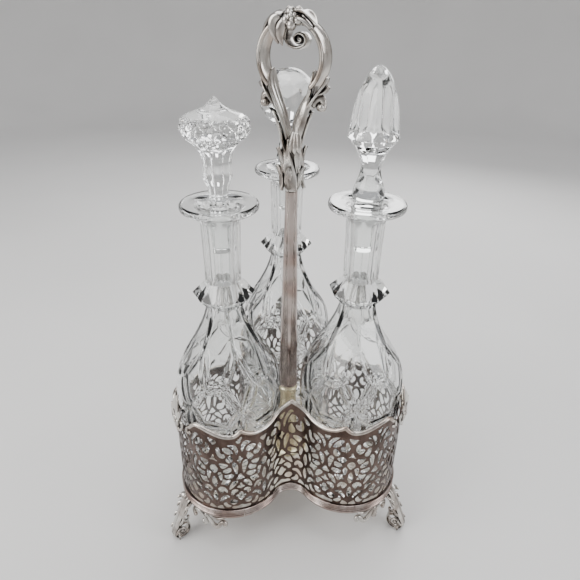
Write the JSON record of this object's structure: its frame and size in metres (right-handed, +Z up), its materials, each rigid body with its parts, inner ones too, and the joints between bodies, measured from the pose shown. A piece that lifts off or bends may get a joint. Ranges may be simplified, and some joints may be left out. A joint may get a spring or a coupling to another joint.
{
  "type": "decanter stand",
  "caption": "Trefoil silver-plated stand with a pierced gallery, scroll feet and a ring handle on a centre column, holding cut-glass decanters with lift-out stoppers.",
  "frame": {"origin": "middle of the footprint box, on the table that the feet stand on; the column axis is 24 mm behind the front (at y = -0.024075)", "axes": "+Z up the column; -Y faces the front valley between the left and right lobes; +X towards the right lobe; the third lobe and its foot point along +Y"},
  "size_m": [0.2244, 0.2058, 0.4375],
  "materials": {
    "plate": "worn silver plate over copper alloy, satin to bright, with dark tarnish",
    "cast": "cast and silver plated, dark tarnish in the hollows",
    "brass": "yellowish, satin, plate worn away",
    "steel": "plain turned steel",
    "glass": "clear lead glass, cut and polished"
  },
  "bodies": {
    "stand": {"base_plate": "plate", "base_band_foot_left": "plate", "base_band_valley_left": "plate", "base_band_foot_right": "plate", "base_band_valley_right": "plate", "base_band_foot_back": "plate", "base_band_valley_back": "plate", "gallery_front": "plate", "gallery_rear_right": "plate", "gallery_rear_left": "plate", "rim_front": "plate", "rim_rear_right": "plate", "rim_rear_left": "plate", "side_ornament_left": "cast", "side_ornament_right": "cast", "side_ornament_back": "cast", "foot_left": "cast", "foot_right": "cast", "foot_back": "cast", "foot_scroll_left_fore": "cast", "foot_scroll_left_aft": "cast", "foot_scroll_right_fore": "cast", "foot_scroll_right_aft": "cast", "foot_scroll_back_fore": "cast", "foot_scroll_back_aft": "cast", "column_socket": "brass", "column_tube": "plate", "handle_loop": "plate", "centre_rod": "steel", "base_washer": "steel", "base_nut": "steel", "handle_boss": "cast", "handle_stem_left": "cast", "handle_stem_right": "cast", "handle_rose": "cast", "handle_leaf_left": "cast", "handle_leaf_right": "cast", "handle_frond": "cast", "handle_bud_left": "cast", "handle_bud_right": "cast"},
    "decanter_left_body": {"decanter_left": "glass"},
    "stopper_mushroom_body": {"stopper_mushroom": "glass"},
    "decanter_right_body": {"decanter_right": "glass"},
    "stopper_spire_body": {"stopper_spire": "glass"},
    "decanter_back_body": {"decanter_back": "glass"},
    "stopper_ball_body": {"stopper_ball": "glass"}
  },
  "joints": [
    {"name": "decanter_left_lift", "type": "slide", "parent": "stand", "child": "decanter_left_body", "axis": [0, 0, 1], "range_m": [0, 0.11]},
    {"name": "stopper_mushroom_pull", "type": "slide", "parent": "decanter_left_body", "child": "stopper_mushroom_body", "axis": [0, 0, 1], "range_m": [0, 0.04]},
    {"name": "decanter_right_lift", "type": "slide", "parent": "stand", "child": "decanter_right_body", "axis": [0, 0, 1], "range_m": [0, 0.11]},
    {"name": "stopper_spire_pull", "type": "slide", "parent": "decanter_right_body", "child": "stopper_spire_body", "axis": [0, 0, 1], "range_m": [0, 0.04]},
    {"name": "decanter_back_lift", "type": "slide", "parent": "stand", "child": "decanter_back_body", "axis": [0, 0, 1], "range_m": [0, 0.11]},
    {"name": "stopper_ball_pull", "type": "slide", "parent": "decanter_back_body", "child": "stopper_ball_body", "axis": [0, 0, 1], "range_m": [0, 0.04]}
  ]
}
